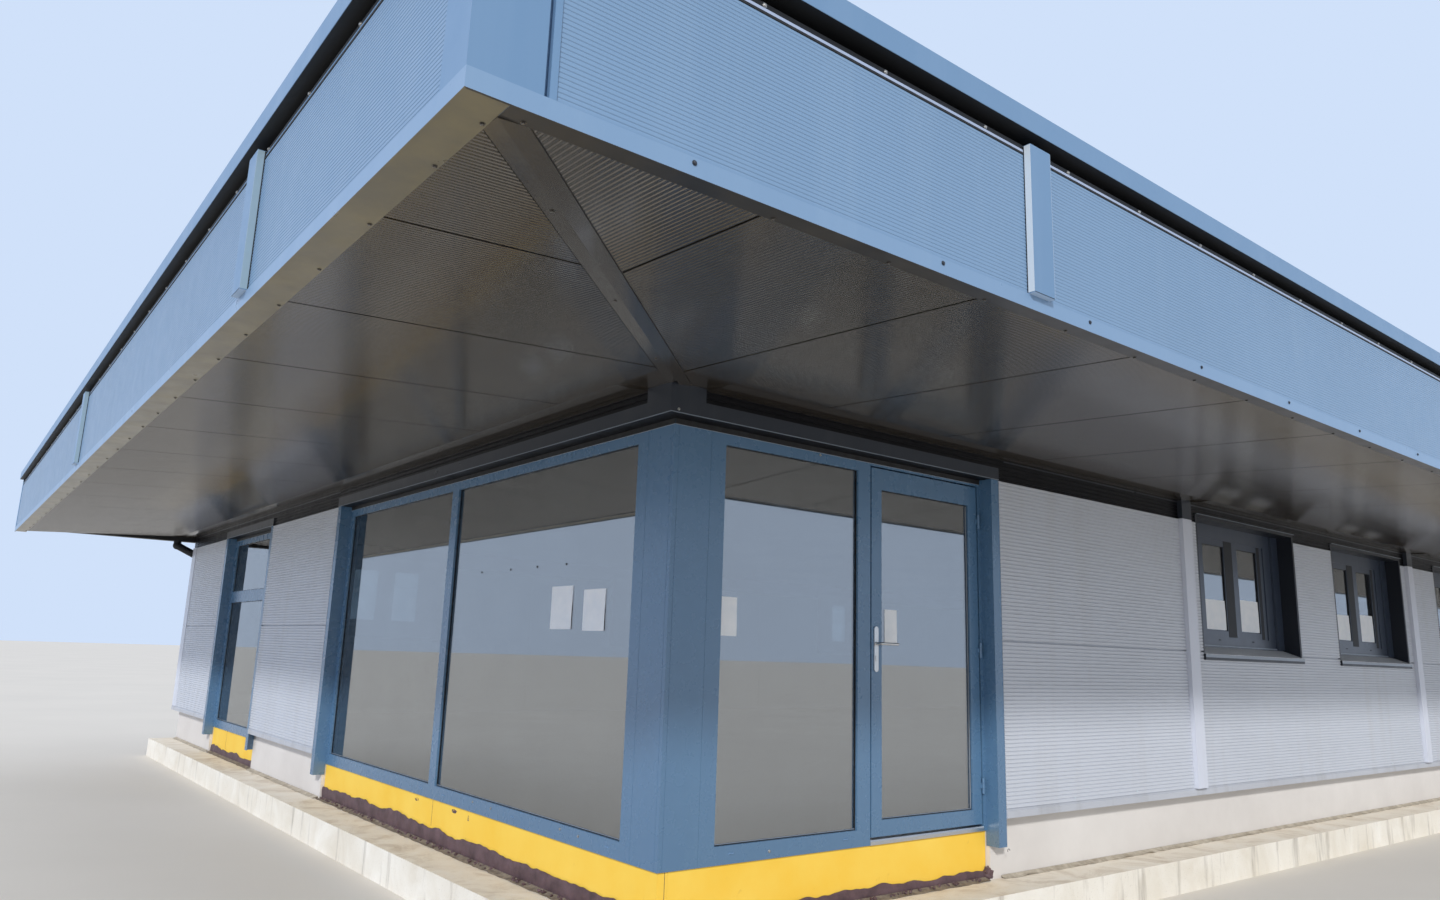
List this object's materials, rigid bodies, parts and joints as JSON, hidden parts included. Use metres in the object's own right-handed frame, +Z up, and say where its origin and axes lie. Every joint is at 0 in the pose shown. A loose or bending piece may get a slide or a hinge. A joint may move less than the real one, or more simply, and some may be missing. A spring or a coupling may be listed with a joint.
{
  "type": "supermarket building",
  "caption": "Single-storey panel-clad shop building with a glazed corner, an entrance door and a deep mitred canopy with a hollow hall inside.",
  "frame": {"origin": "on the ground, under the middle of the outline of the whole building", "axes": "+X along the entrance front, away from the glazed corner; +Y from the front to the back; +Z up"},
  "size_m": [24.574, 13.617, 3.558],
  "materials": {
    "anthracite": "satin",
    "soffit": "gloss",
    "pale_cladding": "satin",
    "concrete": "matt",
    "floor": "matt",
    "render": "matt",
    "insulation_board": "matt",
    "glass": "clear",
    "black_sheet": "satin",
    "bare_metal": "satin",
    "roof_membrane": "matt"
  },
  "bodies": {
    "building": {"footing": "concrete", "floor_slab": "floor", "insulation_boards": "insulation_board", "plinths": "render", "corner_post": "anthracite", "entrance_frame": "anthracite", "door_head": "anthracite", "door_jamb": "anthracite", "door_threshold": "bare_metal", "left_window_frames": "anthracite", "fixed_glass": "glass", "jamb_flashings": "anthracite", "head_flashings": "anthracite", "wall_front": "pale_cladding", "wall_left": "pale_cladding", "wall_right": "pale_cladding", "wall_back": "pale_cladding", "base_flashings": "pale_cladding", "grid_covers": "pale_cladding", "corner_flashings": "pale_cladding", "wall_heads": "anthracite", "window_surrounds": "anthracite", "window_frames": "anthracite", "window_sashes": "anthracite", "soffit_front": "soffit", "soffit_sides": "soffit", "hip_trims": "anthracite", "drip_front": "anthracite", "drip_sides": "anthracite", "fascia_front": "anthracite", "fascia_sides": "anthracite", "fascia_posts": "anthracite", "fascia_corners": "anthracite", "upstand_front": "black_sheet", "upstand_sides": "black_sheet", "coping_front": "anthracite", "coping_sides": "anthracite", "roof_deck": "roof_membrane", "gutter": "anthracite", "downpipes": "black_sheet"},
    "door": {"door_leaf": "anthracite", "door_glass": "glass", "door_plates": "bare_metal"},
    "lever": {"lever_handle": "bare_metal"}
  },
  "joints": [
    {"name": "door_hinge", "type": "hinge", "parent": "building", "child": "door", "pos_m": [-7.5865, -4.6215, 1.626], "axis": [0, 0, 1], "range_deg": [0, 100]},
    {"name": "lever_turn", "type": "hinge", "parent": "door", "child": "lever", "pos_m": [-8.57, -4.5795, 1.64], "axis": [0, 1, 0], "range_deg": [0, 40], "stiffness_Nm_per_rad": 2, "springref_deg": -20.05}
  ]
}
